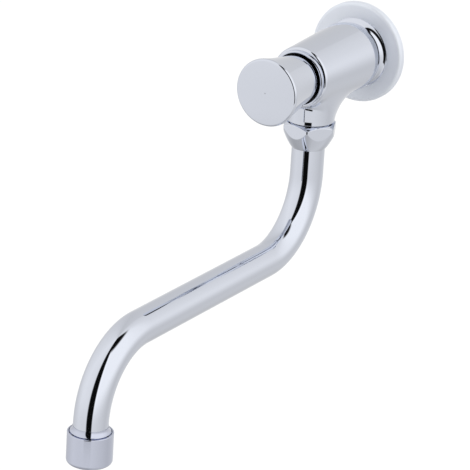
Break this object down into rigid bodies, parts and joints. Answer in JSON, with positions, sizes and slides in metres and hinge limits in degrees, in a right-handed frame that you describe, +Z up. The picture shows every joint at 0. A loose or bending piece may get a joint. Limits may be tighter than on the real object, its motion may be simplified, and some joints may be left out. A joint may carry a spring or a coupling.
{
  "type": "self-closing wall tap",
  "caption": "Chromed push-button tap for a wall: conical body on a round flange, union nut and a swivelling S-shaped tube spout with a screwed nozzle.",
  "frame": {"origin": "where the inlet thread's axis meets the wall face", "axes": "+Y into the wall along the inlet thread, +Z up, +X to the right when the tap is seen from the front; the tap stands out along -Y"},
  "size_m": [0.0558, 0.277, 0.1848],
  "materials": {
    "chrome": "polished chrome plate on brass",
    "brass": "turned brass",
    "steel": "stainless steel, drawn and turned",
    "rubber": "black nitrile rubber",
    "foam": "closed-cell foam",
    "white_plastic": "moulded white acetal",
    "grey_plastic": "moulded grey acetal",
    "black_plastic": "moulded black acetal"
  },
  "bodies": {
    "tap_body": {"valve_body": "chrome", "wall_flange": "chrome", "flange_gasket": "foam", "inlet_strainer": "white_plastic", "cartridge": "black_plastic", "cartridge_rear_seal": "rubber", "cartridge_front_seal": "rubber", "gland_nut": "brass", "spindle_seal": "rubber", "timing_pin": "steel", "bezel_ring": "chrome", "union_nut": "chrome", "slip_ring": "white_plastic", "return_spring": "steel"},
    "button": {"push_button": "chrome", "button_core": "grey_plastic", "spindle": "steel", "spindle_locknut": "brass", "piston": "white_plastic", "piston_lip_seal": "rubber", "circlip": "steel", "valve_disc": "brass", "valve_washer": "rubber", "valve_nut": "brass"},
    "spout": {"spout_tube": "chrome", "spout_collar": "brass", "spout_o_rings": "rubber", "spout_end": "chrome", "nozzle": "chrome", "nozzle_washer": "rubber", "aerator_housing": "grey_plastic", "aerator_diffuser": "white_plastic", "aerator_screen": "steel"}
  },
  "joints": [
    {"name": "button_press", "type": "slide", "parent": "tap_body", "child": "button", "axis": [0, 1, 0], "range_m": [0, 0.0055], "stiffness_N_per_m": 900, "springref_m": -0.014, "deforming": ["return_spring"]},
    {"name": "spout_swivel", "type": "hinge", "parent": "tap_body", "child": "spout", "pos_m": [0, -0.0492, -0.045], "axis": [0, 0, 1], "range_deg": [-100, 100]}
  ]
}
